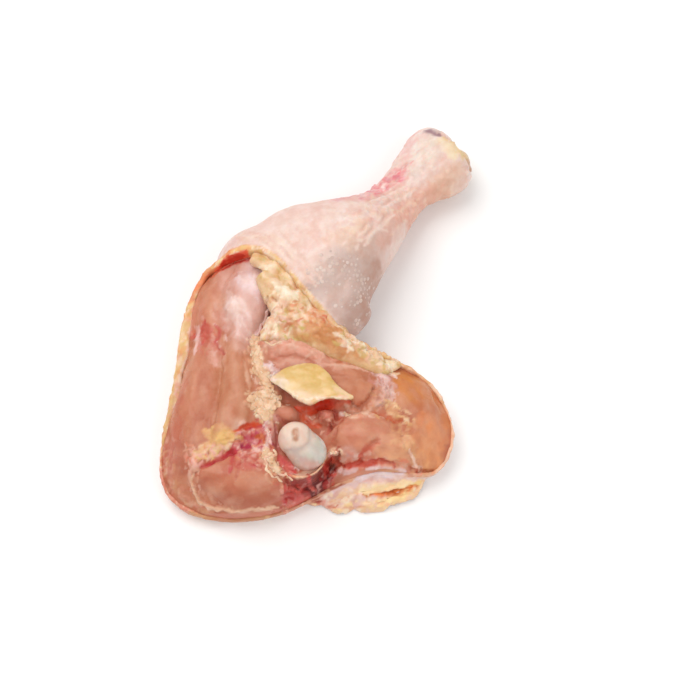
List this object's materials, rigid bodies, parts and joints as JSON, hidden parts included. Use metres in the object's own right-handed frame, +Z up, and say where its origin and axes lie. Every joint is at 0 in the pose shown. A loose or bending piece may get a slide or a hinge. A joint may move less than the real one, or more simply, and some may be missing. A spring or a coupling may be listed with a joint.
{
  "type": "raw chicken leg",
  "caption": "Raw chicken leg lying on its skin: a drumstick with the thigh attached, the cut inner face of the thigh and the ball of its bone looking up.",
  "frame": {"origin": "on the surface that the leg lies on, straight below the centre of the hip ball", "axes": "+Z up, +Y towards the knee, +X towards the hock end of the drumstick"},
  "size_m": [0.1399, 0.1879, 0.0449],
  "materials": {
    "skin": "moist raw skin, satin, with small bumps where the feathers grew",
    "meat": "moist raw muscle with a thin glossy film",
    "hip_cartilage": "smooth wet cartilage",
    "hock_cartilage": "smooth wet cartilage, greyish pink",
    "fat": "moist yellow fat, satin"
  },
  "bodies": {
    "root": {"skin": "skin", "meat": "meat", "thigh_bone": "hip_cartilage", "shin_bone": "hock_cartilage", "knee_fat": "fat", "fat_leaf": "fat"}
  },
  "joints": []
}
